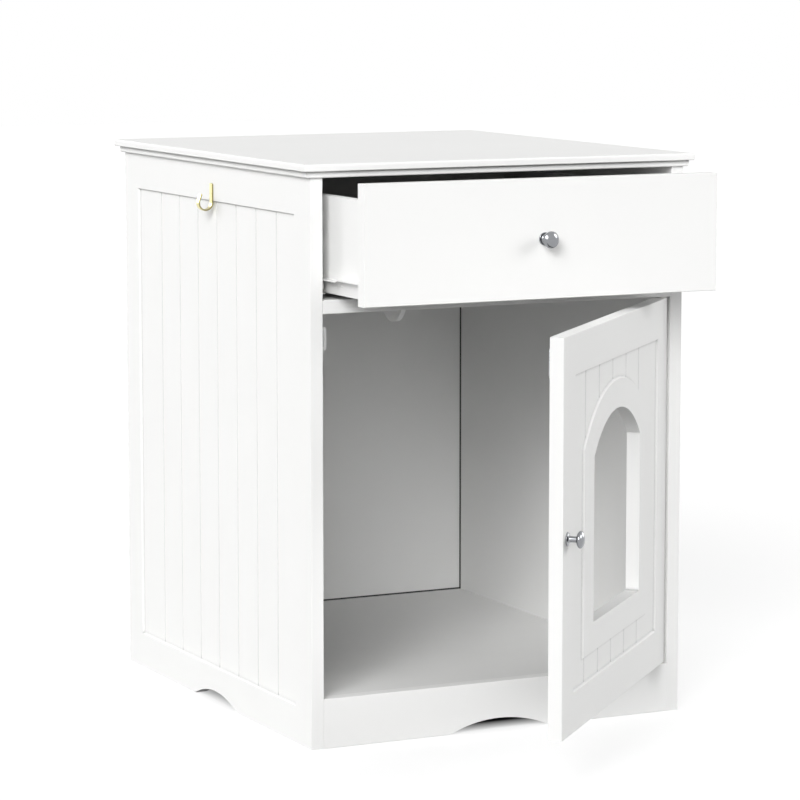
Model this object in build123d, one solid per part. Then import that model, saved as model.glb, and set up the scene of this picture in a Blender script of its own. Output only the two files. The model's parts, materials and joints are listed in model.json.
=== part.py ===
from build123d import *
import math
import os

# Litter box enclosure: a white flat-pack cabinet with a drawer above a cat compartment,
# an arched cat door on pivot pins and a hook on its left side.
# The frame is in millimetres, +Z up, front towards -Y, with its origin on the floor
# at the middle of the back panel's bottom edge. The drawer is part out and the door part open.

# Carcass
cabinet_width = 460.0
cabinet_depth = 531.0
board = 15.0
apron_height = 55.0
compartment_height = 420.0
drawer_bay_height = 131.0
edge_ease = 0.8
seam = 1.8

# Top board, whose edge is routed into an upper band and a smaller step below it
top_thickness = 15.0
top_side_overhang = 10.0
top_front_overhang = 8.5
top_back_overhang = 8.5
top_band_height = 8.0
top_band_round = 2.4
top_step_setback = 5.0
top_step_round = 1.6

# Back panel, held in grooves of the side panels
back_thickness = 4.0
back_inset = 10.0
back_groove_width = 6.0
back_groove_depth = 6.0
back_play = 0.2

# Routed panel look of the sides and the door
routed_depth = 2.5
routed_wall_degrees = 32.0
side_margin = 41.0
side_groove_pitch = 55.0
side_first_groove = 52.5
groove_width = 2.6
groove_depth = 1.4

# Arches cut into the base of the front apron and the side panels
base_arch_chord = 124.0
base_arch_rise = 13.5

# Door
door_thickness = 15.0
door_hinge_gap = 2.0
door_free_gap = 2.2
door_end_gap = 1.5
door_rest_angle = 45.3
door_margin = 42.5
door_groove_pitch = 54.0
door_first_groove = 48.7
surround_width = 262.0
surround_foot = 72.0
surround_side = 219.0
surround_rise = 59.0
cat_arch_width = 188.0
cat_arch_foot = 103.0
cat_arch_side = 176.0
cat_arch_rise = 40.0

# Door pivots: steel pins in flanged nylon bushes
pivot_setback = 6.0
pivot_pin_radius = 2.5
pivot_pin_in_door = 14.0
pivot_pin_in_bush = 8.0
pivot_corner_round = 2.5
bush_radius = 4.0
bush_depth = 10.0
bush_flange_radius = 5.4
bush_flange = 1.2
running_clearance = 0.05

# Drawer
drawer_rest_pull = 100.0
drawer_side_gap = 1.25
drawer_end_gap = 1.0
drawer_wall = 12.0
drawer_side_height = 103.0
drawer_rear_space = 49.0
drawer_bottom = 4.0
drawer_bottom_lift = 10.0
drawer_groove_depth = 5.0

# Roller slides: a channel on the cabinet and a track on the drawer, with a roller at one end of each
slide_gap = 12.5
slide_steel = 1.2
slide_lift = 5.0
slide_front_gap = 1.5
channel_floor_reach = 10.3
channel_lip_reach = 6.0
track_reach = 2.6
track_rise = 2.3
track_rise_length = 54.0
track_ramp = 9.0
runner_foot = 9.0
roller_radius = 7.0
roller_width = 6.5
roller_play = 0.15
roller_stand_off = 1.2
roller_inset = 6.5
track_play = 0.45
lip_play = 0.6
spare_hole_radius = 1.0
spare_hole_lift = 1.9
spare_hole_places = (62.8, 72.4)
axle_radius = 2.5
axle_shoulder_radius = 4.0
axle_head_radius = 3.8
axle_head = 1.0

# Knobs, turned from solid metal, each held by a machine screw from behind
knob_length = 18.2
knob_flange_radius = 7.2
knob_flange = 1.4
knob_sweep = 2.6
knob_neck_radius = 3.2
knob_head_radius = 9.15
knob_head = 8.2
knob_steps = 10
knob_screw_radius = 2.0
knob_screw_depth = 9.0
door_knob_inset = 16.0

# Hook, bent from brass strip
hook_width = 8.0
hook_thickness = 1.8
hook_reach = 18.0
hook_height = 31.5
hook_tip_height = 19.5
hook_tip_lean_degrees = 20.0
hook_drop = 21.0
hook_screw_radius = 1.5

# Half-moon door stop below the middle panel
stop_radius = 26.6
stop_drop = 16.3
stop_thickness = 5.5
stop_offset = 101.0
stop_clearance = 0.4

# Magnetic catch on the left side panel and its plate on the door
catch_height = 25.0
catch_reach = 11.7
catch_depth = 16.0
catch_below_middle = 15.8
catch_wall = 3.5
catch_air = 0.6
strike_height = 28.0
strike_width = 11.0
strike_inset = 0.8
strike_thickness = 1.2

# Joinery hardware
cam_radius = 7.4
drawer_cam_radius = 5.9
cam_setback = 24.0
cam_play = 0.1
bolt_neck_radius = 3.0
bolt_thread_radius = 2.5
bolt_thread = 9.5
dowel_radius = 4.0
dowel_in_face = 9.0
dowel_in_edge = 18.0
fastener_inset = 70.0
fastener_pitch = 32.0
screw_radius = 1.75
screw_head_radius = 3.3
screw_head = 1.6
screw_length = 9.0
long_screw_length = 30.0
fastener_play = 0.05
overrun = 5.0

# Shares of a board's thickness, of a cam's size, of a head's size or of the piece that carries them
cam_pocket_share = 0.83
cam_height_share = 0.78
cross_slot_share = 0.22
cross_depth_share = 0.6
slide_screw_shares = (0.08, 0.45, 0.88)
runner_screw_shares = (0.26, 0.55, 0.9)
drawer_joint_shares = (0.3, 0.75)
apron_cam_share = 0.36
apron_dowel_share = 0.62
catch_screw_share = 0.75
pole_plate_share = 0.35
stop_screw_share = 0.33
hook_screw_share = 0.25
strike_head_share = 0.5

# Levels and lines that the pieces share
half_width = cabinet_width / 2
inner_half = half_width - board
back_front = -back_thickness / 2
back_rear = back_thickness / 2
rear_edge = back_rear + back_inset
front_edge = rear_edge - cabinet_depth
middle_y = (front_edge + rear_edge) / 2
floor_top = apron_height
floor_under = floor_top - board
mid_under = floor_top + compartment_height
mid_top = mid_under + board
side_height = mid_top + drawer_bay_height
top_height = side_height + top_thickness
panel_rear = back_front - seam

# Slide levels, from the middle panel upwards
channel_under = mid_top + slide_lift
channel_floor = channel_under + slide_steel
rear_roller_z = channel_floor + roller_play + roller_radius
track_under = rear_roller_z + roller_radius + track_play
front_roller_z = track_under - roller_play - roller_radius
track_top = track_under + slide_steel
lip_under = track_top + lip_play
channel_top = lip_under + slide_steel
runner_under = channel_floor + lip_play / 2
drawer_under = runner_under + slide_steel
drawer_rim = drawer_under + drawer_side_height

# Drawer lines, with the drawer closed
drawer_front_back = front_edge + board
drawer_rear = back_front - drawer_rear_space
drawer_half = inner_half - slide_gap
drawer_inner_half = drawer_half - drawer_wall
drawer_floor_under = drawer_under + drawer_bottom_lift
drawer_floor_top = drawer_floor_under + drawer_bottom
drawer_face_under = mid_top + drawer_end_gap
drawer_face_top = side_height - drawer_end_gap
drawer_face_half = inner_half - drawer_side_gap
channel_front = drawer_front_back + slide_front_gap
channel_rear = drawer_rear + slide_front_gap

# Door lines, with the door closed
door_right = inner_half - door_hinge_gap
door_left = door_free_gap - inner_half
door_mid_x = (door_left + door_right) / 2
door_under = floor_top + door_end_gap
door_top = mid_under - door_end_gap
door_back = front_edge + door_thickness
pivot_x = door_right - pivot_setback
pivot_y = front_edge + pivot_setback
catch_z = mid_under - catch_below_middle - catch_height / 2

MIN_END = (Align.CENTER, Align.CENTER, Align.MIN)


def block(x, y, z):
    """A box between the low and high values given along each axis."""
    spans = [sorted(span) for span in (x, y, z)]
    sizes = [high - low for low, high in spans]
    centre = [(low + high) / 2 for low, high in spans]
    return Pos(*centre) * Box(*sizes)


def rod(radius, start, end):
    """A round bar from one point to another."""
    run = Vector(*end) - Vector(*start)
    return Plane(origin=start, z_dir=run) * Cylinder(radius, run.length, align=MIN_END)


def shift(point, direction, distance):
    """The point moved along a unit direction."""
    return tuple(p + d * distance for p, d in zip(point, direction))


def opposite(direction):
    """The direction turned round."""
    return tuple(-d for d in direction)


def from_wall(side, near, far):
    """The x span between two distances inwards from a side panel's inner face."""
    return (side * (inner_half - near), side * (inner_half - far))


def side_name(side):
    """left for -X, right for +X."""
    return "left" if side < 0 else "right"


def drawn_out(part):
    """A drawer piece moved from closed to where the drawer is drawn out."""
    return Pos(0, -drawer_rest_pull, 0) * part


def swung_open(part):
    """A door piece turned from closed to where the door stands open."""
    spot = Pos(pivot_x, pivot_y, 0)
    return spot * Rot(0, 0, door_rest_angle) * spot.inverse() * part


def save(name, pieces):
    """Writes one node: a single solid, or a group of separate solids."""
    shape = pieces[0] if len(pieces) == 1 else Compound(children=pieces)
    export_step(shape, os.path.join("parts", name + ".step"))


def arch_radius(chord, rise):
    """Radius of the arc that stands this high on this chord."""
    return (chord * chord / 4 + rise * rise) / (2 * rise)


def tombstone(width, foot, side, rise):
    """An upright face with straight sides and a shallow arched head, on the plane's own axes."""
    half = width / 2
    spring = foot + side
    outline = Polyline((-half, spring), (-half, foot), (half, foot), (half, spring))
    head = ThreePointArc((half, spring), (0, spring + rise), (-half, spring))
    return make_face([outline, head])


def vee(tip, wall_a, wall_b, low, high):
    """A V-shaped groove cutter standing from low to high, from the plan of its three corners."""
    plan = make_face(Polyline(wall_a, wall_b, tip, close=True))
    return Pos(0, 0, low) * extrude(plan, high - low)


def groove_places(first, pitch, end):
    """Distances of equally spaced grooves from a panel's edge, each over half a pitch short of its end."""
    count = int((end - pitch / 2 - first) // pitch) + 1
    return [first + pitch * n for n in range(count)]


# Screws, cams, bolts and dowels


def screw(point, outward, length, radius=screw_radius, head_radius=screw_head_radius, head=screw_head):
    """A pan head screw whose head stands on the point and whose shank goes in the other way."""
    body = Cylinder(head_radius, head, align=MIN_END)
    body = fillet(body.edges().group_by(Axis.Z)[-1], head / 2)
    slot = head_radius * cross_slot_share
    deep = head * cross_depth_share
    arm = head_radius * (1 - cross_slot_share)
    for width, depth in ((arm, slot), (slot, arm)):
        body -= Pos(0, 0, head) * Box(2 * width, 2 * depth, 2 * deep)
    shank = Cylinder(radius, length, align=(Align.CENTER, Align.CENTER, Align.MAX))
    return Plane(origin=point, z_dir=outward) * (body + shank)


def screw_hole(point, outward, length, radius=screw_radius):
    """The hole for a screw's shank, open at the point."""
    start = shift(point, outward, overrun)
    return rod(radius + fastener_play, start, shift(point, outward, -length - fastener_play))


def cam_joint(point, into, opening, thickness, radius):
    """A bolt and cam at a joint: the point lies on the seam, at the middle of the cam's board."""
    back = opposite(into)
    centre = shift(point, back, cam_setback)
    face = shift(centre, opening, thickness / 2)
    floor = opposite(opening)
    neck_end = shift(point, back, cam_setback - radius)
    head_end = shift(point, back, cam_setback + bolt_neck_radius)
    bolt = rod(bolt_thread_radius, point, shift(point, into, bolt_thread))
    bolt += rod(bolt_neck_radius, point, neck_end)
    bolt += rod(bolt_thread_radius, neck_end, head_end)
    way = rod(bolt_neck_radius + cam_play, shift(point, into, overrun), shift(head_end, back, cam_play))
    drum = rod(radius, shift(face, floor, cam_play), shift(face, floor, thickness * cam_height_share))
    pocket_start = shift(face, opening, overrun)
    pocket = rod(radius + cam_play, pocket_start, shift(face, floor, thickness * cam_pocket_share))
    thread = rod(bolt_thread_radius + fastener_play, shift(point, back, overrun),
                 shift(point, into, bolt_thread + fastener_play))
    return {"bolt": bolt, "cam": drum - way, "edge_cut": pocket + way, "face_cut": thread}


def dowel_joint(point, into):
    """A wooden dowel across a seam, with the holes it fits."""
    start = shift(point, opposite(into), dowel_in_edge)
    end = shift(point, into, dowel_in_face)
    hole = rod(dowel_radius + fastener_play, shift(start, opposite(into), fastener_play),
               shift(end, into, fastener_play))
    return {"dowel": rod(dowel_radius, start, end), "cut": hole}


def cut_all(part, cutters):
    """The part less each cutter."""
    for cutter in cutters:
        part -= cutter
    return part


# Where the carcass boards are joined

cams = {"floor": [], "mid": [], "apron": [], "top": []}
dowels = {"floor": [], "mid": [], "apron": [], "top": []}
cam_rows = (front_edge + fastener_inset, panel_rear - fastener_inset)
for side in (-1, 1):
    outward = (side, 0, 0)
    seam_x = side * inner_half
    for place, level in (("floor", (floor_top + floor_under) / 2), ("mid", (mid_top + mid_under) / 2)):
        for row, step in zip(cam_rows, (fastener_pitch, -fastener_pitch)):
            joint = cam_joint((seam_x, row, level), outward, (0, 0, -1), board, cam_radius)
            cams[place].append((side, joint))
            dowels[place].append((side, dowel_joint((seam_x, row + step, level), outward)))
    apron_y = front_edge + board / 2
    apron_spot = (seam_x, apron_y, apron_height * apron_cam_share)
    cams["apron"].append((side, cam_joint(apron_spot, outward, (0, 1, 0), board, cam_radius)))
    apron_pin = (seam_x, apron_y, apron_height * apron_dowel_share)
    dowels["apron"].append((side, dowel_joint(apron_pin, outward)))
    edge_x = side * (half_width - board / 2)
    for row, step in zip(cam_rows, (fastener_pitch, -fastener_pitch)):
        joint = cam_joint((edge_x, row, side_height), (0, 0, 1), (-side, 0, 0), board, cam_radius)
        cams["top"].append((side, joint))
        dowels["top"].append((side, dowel_joint((edge_x, row + step, side_height), (0, 0, 1))))


def edge_cuts(place):
    """Cuts in the board that holds the cams of one joint line."""
    return [j["edge_cut"] for _, j in cams[place]] + [j["cut"] for _, j in dowels[place]]


def face_cuts(place, side=None):
    """Cuts in the board whose face takes the bolts of one joint line, on one side or on both."""
    found = [j["face_cut"] for s, j in cams[place] if side in (None, s)]
    return found + [j["cut"] for s, j in dowels[place] if side in (None, s)]


# Slides: channels on the cabinet, tracks on the drawer

slide_length = channel_rear - channel_front
slide_screw_rows = [channel_front + slide_length * share for share in slide_screw_shares]
slide_screw_z = (channel_floor + lip_under) / 2
runner_length = drawer_rear - drawer_front_back
runner_screw_rows = [drawer_front_back + runner_length * share for share in runner_screw_shares]
ramp_front = drawer_front_back + track_rise_length
ramp_rear = ramp_front + track_ramp
lip_front = ramp_rear + track_ramp
front_roller_y = channel_front + roller_inset
rear_roller_y = drawer_rear - roller_inset


def channel_screws(side):
    """Places of the screws that hold one channel to its side panel."""
    x = side * (inner_half - slide_steel)
    return [(x, row, slide_screw_z) for row in slide_screw_rows]


def runner_screws(side):
    """Places of the screws that hold one track to its drawer side."""
    x = side * (drawer_half + slide_steel)
    return [(x, row, front_roller_z) for row in runner_screw_rows]


def channel(side):
    """The C-shaped cabinet rail, open towards the drawer."""
    run = (channel_front, channel_rear)
    rail = block(from_wall(side, 0, slide_steel), run, (channel_under, channel_top))
    rail += block(from_wall(side, 0, channel_floor_reach), run, (channel_under, channel_floor))
    rail += block(from_wall(side, 0, channel_lip_reach), (lip_front, channel_rear), (lip_under, channel_top))
    holes = [screw_hole(spot, (-side, 0, 0), screw_length) for spot in channel_screws(side)]
    pin = rod(axle_radius + fastener_play, (side * half_width, front_roller_y, front_roller_z),
              (side * drawer_half, front_roller_y, front_roller_z))
    return cut_all(rail, holes + [pin])


def track_line(level):
    """The track's line from front to rear at this height, with the step up at its front end."""
    return [(drawer_front_back, level + track_rise), (ramp_front, level + track_rise), (ramp_rear, level),
            (drawer_rear, level)]


def across(x, outline):
    """A plate of this outline in y and z, between two x values."""
    low, high = sorted(x)
    plan = Plane(origin=(low, 0, 0), x_dir=(0, 1, 0), z_dir=(1, 0, 0))
    return extrude(plan * make_face(Polyline(*outline, close=True)), high - low)


def runner(side):
    """The drawer rail: a track turned outwards at its top and a foot under the drawer side.

    The track steps up at its front end, so that the drawer settles on its rollers as it shuts.
    """
    run = (drawer_front_back, drawer_rear)
    web = [(drawer_rear, runner_under), (drawer_front_back, runner_under)] + track_line(track_top)
    rail = across(from_wall(side, slide_gap - slide_steel, slide_gap), web)
    track = track_line(track_top) + track_line(track_under)[::-1]
    rail += across(from_wall(side, track_reach, slide_gap), track)
    rail += block(from_wall(side, slide_gap - slide_steel, slide_gap + runner_foot), run,
                  (runner_under, drawer_under))
    holes = [screw_hole(spot, (side, 0, 0), screw_length) for spot in runner_screws(side)]
    spare_z = front_roller_z + spare_hole_lift
    holes += [rod(spare_hole_radius, (side * inner_half, drawer_front_back + place, spare_z),
                  (side * drawer_half, drawer_front_back + place, spare_z)) for place in spare_hole_places]
    pin = rod(axle_radius + fastener_play, (side * inner_half, rear_roller_y, rear_roller_z),
              (side * drawer_half, rear_roller_y, rear_roller_z))
    return cut_all(rail, holes + [pin])


def roller_set(wall_x, inward, y, z):
    """A nylon roller and its riveted axle, standing off a steel web whose far face is at wall_x."""
    def at(distance):
        return (wall_x + inward * distance, y, z)
    near = slide_steel + roller_stand_off
    far = near + roller_width
    wheel = rod(roller_radius, at(near), at(far))
    wheel = fillet(wheel.edges(), axle_head)
    wheel -= rod(axle_radius + running_clearance, at(near - overrun), at(far + overrun))
    wheel -= rod(axle_head_radius + roller_play, at(far - axle_head - roller_play), at(far + overrun))
    axle = rod(axle_radius, at(0), at(far))
    axle += rod(axle_shoulder_radius, at(slide_steel), at(near - roller_play))
    axle += rod(axle_head_radius, at(far - axle_head), at(far))
    return wheel, axle


# Hardware on the left side panel and the middle panel

hook_z = side_height - hook_drop
hook_screw_z = hook_z - hook_height * hook_screw_share
hook_screw_spot = (-inner_half, middle_y, hook_screw_z)
catch_front = door_back + strike_thickness + catch_air
catch_screw_y = catch_front + catch_depth * catch_screw_share
catch_screw_spot = (catch_reach - inner_half - catch_wall, catch_screw_y, catch_z)
stop_left = stop_offset - inner_half
stop_front = door_back + stop_clearance
stop_centre_z = mid_under - stop_drop + stop_radius
stop_half_chord = math.sqrt(stop_radius ** 2 - (stop_centre_z - mid_under) ** 2)
stop_y = stop_front + stop_half_chord
stop_screw_step = stop_half_chord * stop_screw_share
stop_screw_rows = (stop_y - stop_screw_step, stop_y + stop_screw_step)
stop_screw_x = stop_left + stop_thickness / 2
stop_screw_bite = stop_drop / 2


def hook():
    """A flat strip: a stem down the side panel that curls outwards and up again, its tip leaning back in."""
    mid = hook_thickness / 2
    bend = (hook_reach - hook_thickness) / 2
    stem_x = -half_width - mid
    low = hook_z - hook_height + hook_thickness / 2
    line = Polyline((stem_x, hook_z), (stem_x, low + bend))
    lean = math.radians(hook_tip_lean_degrees)
    curl_end = (stem_x - bend - bend * math.cos(lean), low + bend + bend * math.sin(lean))
    rise = low - mid + hook_tip_height - curl_end[1]
    line += ThreePointArc((stem_x, low + bend), (stem_x - bend, low), curl_end)
    line += Line(curl_end, (curl_end[0] + rise * math.tan(lean), curl_end[1] + rise))
    plan = Plane(origin=(0, middle_y, 0), x_dir=(1, 0, 0), z_dir=(0, -1, 0))
    path = plan * line
    section = Plane(origin=(stem_x, middle_y, hook_z), z_dir=(0, 0, -1), x_dir=(1, 0, 0))
    strip = sweep(section * Rectangle(hook_thickness, hook_width), path=path, transition=Transition.ROUND)
    tap = rod(hook_screw_radius + fastener_play, (-inner_half, middle_y, hook_screw_z),
              (-half_width - mid, middle_y, hook_screw_z))
    return strip - tap


def door_stop():
    """A half-moon tab that hangs below the middle panel, edge on to the door."""
    stop_right = stop_left + stop_thickness
    disc = rod(stop_radius, (stop_left, stop_y, stop_centre_z), (stop_right, stop_y, stop_centre_z))
    over = block((stop_left - overrun, stop_right + overrun),
                 (stop_y - 2 * stop_radius, stop_y + 2 * stop_radius),
                 (mid_under, mid_under + 3 * stop_radius))
    holes = [rod(screw_radius + fastener_play, (stop_screw_x, row, mid_top),
                 (stop_screw_x, row, mid_under - stop_screw_bite)) for row in stop_screw_rows]
    return cut_all(disc - over, holes)


def catch_parts():
    """The catch's plastic case, its magnet, the two steel plates beside the magnet, and its screw."""
    x = (-inner_half, catch_reach - inner_half)
    y = (catch_front, catch_front + catch_depth)
    half = catch_height / 2
    case = block(x, y, (catch_z - half, catch_z + half))
    case = fillet(case.edges().filter_by(Axis.Y), catch_wall / 2)
    deep = catch_depth / 2
    bay_x = (x[0] + catch_wall, x[1] - catch_wall)
    bay_z = half - catch_wall
    case -= block(bay_x, (y[0] - overrun, y[0] + deep), (catch_z - bay_z, catch_z + bay_z))
    case -= screw_hole(catch_screw_spot, (1, 0, 0), long_screw_length)
    head_end = shift(catch_screw_spot, (1, 0, 0), overrun)
    case -= rod(screw_head_radius + cam_play, catch_screw_spot, head_end)
    plate = catch_wall * pole_plate_share
    play = fastener_play
    core_x = (bay_x[0] + plate + 2 * play, bay_x[1] - plate - 2 * play)
    rear = y[0] + deep - play
    tall = (catch_z - bay_z + play, catch_z + bay_z - play)
    magnet = block(core_x, (y[0] + plate, rear), tall)
    starts = (bay_x[0] + play, bay_x[1] - play - plate)
    plates = [block((start, start + plate), (y[0], rear), tall) for start in starts]
    length = catch_reach - catch_wall + screw_length
    return case, magnet, plates, screw(catch_screw_spot, (1, 0, 0), length)


# Carcass boards


def side_panel(side):
    """A side board: base arch, routed recess with V grooves outside, back panel groove inside."""
    outer = side * half_width
    inner = side * inner_half
    panel = block((outer, inner), (front_edge, rear_edge), (0, side_height))
    panel = fillet(panel.edges().filter_by(Axis.Z), edge_ease)
    radius = arch_radius(base_arch_chord, base_arch_rise)
    arch_z = base_arch_rise - radius
    panel -= rod(radius, (outer + side * overrun, middle_y, arch_z),
                 (inner - side * overrun, middle_y, arch_z))
    length = cabinet_depth - 2 * side_margin
    height = side_height - 2 * side_margin
    face = Plane(origin=(outer, middle_y, side_height / 2), x_dir=(0, 1, 0), z_dir=(-side, 0, 0))
    panel -= extrude(face * Rectangle(length, height), routed_depth, taper=routed_wall_degrees)
    wall_run = routed_depth * math.tan(math.radians(routed_wall_degrees))
    low = side_margin + wall_run
    high = side_height - low
    bed = outer - side * routed_depth
    tip = bed - side * groove_depth
    for place in groove_places(side_first_groove, side_groove_pitch, length):
        y = front_edge + side_margin + place
        panel -= vee((tip, y), (bed, y - groove_width / 2), (bed, y + groove_width / 2), low, high)
    slot_x = (inner - side * overrun, inner + side * back_groove_depth)
    panel -= block(slot_x, (back_rear + back_play - back_groove_width, back_rear + back_play),
                   (-overrun, side_height + overrun))
    cuts = edge_cuts_side(side)
    for place in ("floor", "mid", "apron"):
        cuts += face_cuts(place, side)
    cuts += [screw_hole(spot, (-side, 0, 0), screw_length) for spot in channel_screws(side)]
    if side < 0:
        cuts.append(rod(hook_screw_radius + fastener_play, shift(hook_screw_spot, (1, 0, 0), overrun),
                        shift(hook_screw_spot, (-1, 0, 0), board + overrun)))
        cuts.append(screw_hole(catch_screw_spot, (1, 0, 0), catch_reach - catch_wall + screw_length))
    return cut_all(panel, cuts)


def edge_cuts_side(side):
    """Cuts in one side panel for the cams and dowels that hold the top board."""
    found = [j["edge_cut"] for s, j in cams["top"] if s == side]
    return found + [j["cut"] for s, j in dowels["top"] if s == side]


def front_eased(panel):
    """A board with the two long edges of its front face eased."""
    return fillet(panel.faces().sort_by(Axis.Y)[0].edges().filter_by(Axis.X), edge_ease)


def floor_panel():
    """The board that the litter box stands on."""
    panel = block((-inner_half, inner_half), (front_edge + board, panel_rear), (floor_under, floor_top))
    return cut_all(panel, edge_cuts("floor"))


def mid_panel():
    """The board between the drawer and the cat compartment."""
    panel = front_eased(block((-inner_half, inner_half), (front_edge, panel_rear), (mid_under, mid_top)))
    cuts = edge_cuts("mid") + [bush_hole((pivot_x, pivot_y, mid_under), (0, 0, 1))]
    cuts += [rod(screw_radius + fastener_play, (stop_screw_x, row, mid_top + overrun),
                 (stop_screw_x, row, mid_under - overrun)) for row in stop_screw_rows]
    cuts += [rod(screw_head_radius + fastener_play, (stop_screw_x, row, mid_top + overrun),
                 (stop_screw_x, row, mid_top - 2 * screw_head)) for row in stop_screw_rows]
    return cut_all(panel, cuts)


def front_apron():
    """The arched board below the door."""
    panel = block((-inner_half, inner_half), (front_edge, front_edge + board), (0, apron_height))
    panel = front_eased(panel)
    radius = arch_radius(base_arch_chord, base_arch_rise)
    arch_z = base_arch_rise - radius
    panel -= rod(radius, (0, front_edge - overrun, arch_z), (0, front_edge + board + overrun, arch_z))
    return cut_all(panel, edge_cuts("apron") + [bush_hole((pivot_x, pivot_y, floor_top), (0, 0, -1))])


def back_panel():
    """The thin board that slides down the side panels' grooves."""
    half = inner_half + back_groove_depth - back_play
    return block((-half, half), (back_front, back_rear), (0, side_height))


def top_board():
    """The board that overhangs the carcass, with its routed edge."""
    step_top = top_height - top_band_height

    def layer(setback, low, high):
        side_reach = half_width + top_side_overhang - setback
        front = front_edge - top_front_overhang + setback
        rear = rear_edge + top_back_overhang - setback
        return block((-side_reach, side_reach), (front, rear), (low, high))
    band = layer(0, step_top, top_height)
    band = fillet(band.edges().group_by(Axis.Z)[-1], top_band_round)
    band = fillet(band.edges().group_by(Axis.Z)[0], top_band_round / 2)
    step = layer(top_step_setback, side_height, step_top + edge_ease)
    step = fillet(step.edges().group_by(Axis.Z)[0], top_step_round)
    return cut_all(band + step, face_cuts("top"))


# Door pivots


def bush_hole(point, into):
    """The round pocket that a bush is pressed into."""
    start = shift(point, opposite(into), overrun)
    return rod(bush_radius + fastener_play, start, shift(point, into, bush_depth + fastener_play))


def bush(point, into):
    """A flanged nylon bush: its flange lies on the board and faces the door."""
    body = rod(bush_radius, point, shift(point, into, bush_depth))
    body += rod(bush_flange_radius, point, shift(point, opposite(into), bush_flange))
    start = shift(point, opposite(into), overrun)
    deep = shift(point, into, pivot_pin_in_bush + running_clearance * 4)
    return body - rod(pivot_pin_radius + running_clearance, start, deep)


def pivot_pin(level, up):
    """The steel pin pressed into the door's end, reaching into a bush."""
    reach = door_end_gap + pivot_pin_in_bush
    start = (pivot_x, pivot_y, level - up * pivot_pin_in_door)
    return rod(pivot_pin_radius, start, (pivot_x, pivot_y, level + up * reach))


def pivot_hole(level, up):
    """The hole in the door's end that holds a pivot pin."""
    deep = (pivot_x, pivot_y, level - up * (pivot_pin_in_door + fastener_play))
    return rod(pivot_pin_radius + fastener_play, (pivot_x, pivot_y, level + up * overrun), deep)


# Knobs


def arc_points(centre, reach, height, first, last):
    """Points along an upright oval's arc, between two angles in radians."""
    turns = [first + (last - first) * step / knob_steps for step in range(knob_steps + 1)]
    return [(centre[0] + reach * math.cos(turn), centre[1] + height * math.sin(turn)) for turn in turns]


def knob(point, outward):
    """A turned knob: a round flange that sweeps into a neck, and a head rounded in front and behind."""
    edge = knob_flange / 2
    quarter = math.pi / 2
    rim = arc_points((knob_flange_radius - edge, edge), edge, edge, 0, quarter)
    foot_centre = (knob_neck_radius + knob_sweep, knob_flange + knob_sweep)
    foot = arc_points(foot_centre, knob_sweep, knob_sweep, -quarter, -2 * quarter)
    start = -math.acos(knob_neck_radius / knob_head_radius)
    head = arc_points((0, knob_length - knob_head / 2), knob_head_radius, knob_head / 2, start, quarter)
    outline = [(0, 0), (knob_flange_radius, 0)] + rim + foot + head[:-1] + [(0, knob_length)]
    profile = make_face(Plane.XZ * Polyline(*outline, close=True))
    turned = revolve(profile, Axis.Z)
    turned -= Cylinder(knob_screw_radius + fastener_play, knob_screw_depth, align=MIN_END)
    return Plane(origin=point, z_dir=outward) * turned


def knob_screw(point, outward, thickness):
    """The machine screw from behind, whose head lies on the board's inner face."""
    inside = shift(point, outward, -thickness)
    length = thickness + knob_screw_depth - fastener_play
    return screw(inside, opposite(outward), length, knob_screw_radius, 2 * knob_screw_radius, screw_head)


def knob_hole(point, outward, thickness):
    """The hole through a board for a knob's screw."""
    return rod(knob_screw_radius + fastener_play, shift(point, outward, overrun),
               shift(point, outward, -thickness - overrun))


# Door

door_knob_spot = (door_left + door_knob_inset, front_edge, (door_under + door_top) / 2)
strike_x = (door_left + strike_inset, door_left + strike_inset + strike_width)
strike_spot = (sum(strike_x) / 2, door_back + strike_thickness, catch_z)


def door_face_plane(level):
    """The plane of the closed door's front face, facing into the door, with its origin at this height."""
    return Plane(origin=(door_mid_x, front_edge, level), x_dir=(-1, 0, 0), z_dir=(0, 1, 0))


def door_panel():
    """A single board: a routed field with V grooves round a raised arched surround and the cat arch."""
    panel = block((door_left, door_right), (front_edge, door_back), (door_under, door_top))
    uprights = panel.edges().filter_by(Axis.Z).group_by(Axis.X)[-1].sort_by(Axis.Y)
    panel = fillet(uprights[0], pivot_corner_round)
    rim = panel.faces().sort_by(Axis.Y)[0].edges()
    panel = fillet(rim, edge_ease)
    width = door_right - door_left - 2 * door_margin
    height = door_top - door_under - 2 * door_margin
    foot = door_face_plane(door_under)
    middle = door_face_plane((door_under + door_top) / 2)
    field = extrude(middle * Rectangle(width, height), routed_depth, taper=routed_wall_degrees)
    raised = tombstone(surround_width, surround_foot, surround_side, surround_rise)
    island = extrude(foot * raised, routed_depth, taper=-routed_wall_degrees)
    bed = front_edge + routed_depth
    wall_run = routed_depth * math.tan(math.radians(routed_wall_degrees))
    low = door_under + door_margin + wall_run
    high = door_top - door_margin - wall_run
    core = extrude(foot * raised, door_thickness)
    for place in groove_places(door_first_groove, door_groove_pitch, width):
        x = door_left + door_margin + place
        half = groove_width / 2
        cutter = vee((x, bed + groove_depth), (x - half, bed), (x + half, bed), low, high)
        field += cutter - core
    panel -= field - island
    hole = tombstone(cat_arch_width, cat_arch_foot, cat_arch_side, cat_arch_rise)
    panel -= extrude(foot * hole, door_thickness + overrun)
    cuts = [pivot_hole(door_top, 1), pivot_hole(door_under, -1)]
    cuts.append(knob_hole(door_knob_spot, (0, -1, 0), door_thickness))
    cuts.append(screw_hole(strike_spot, (0, 1, 0), screw_length))
    return cut_all(panel, cuts)


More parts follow.
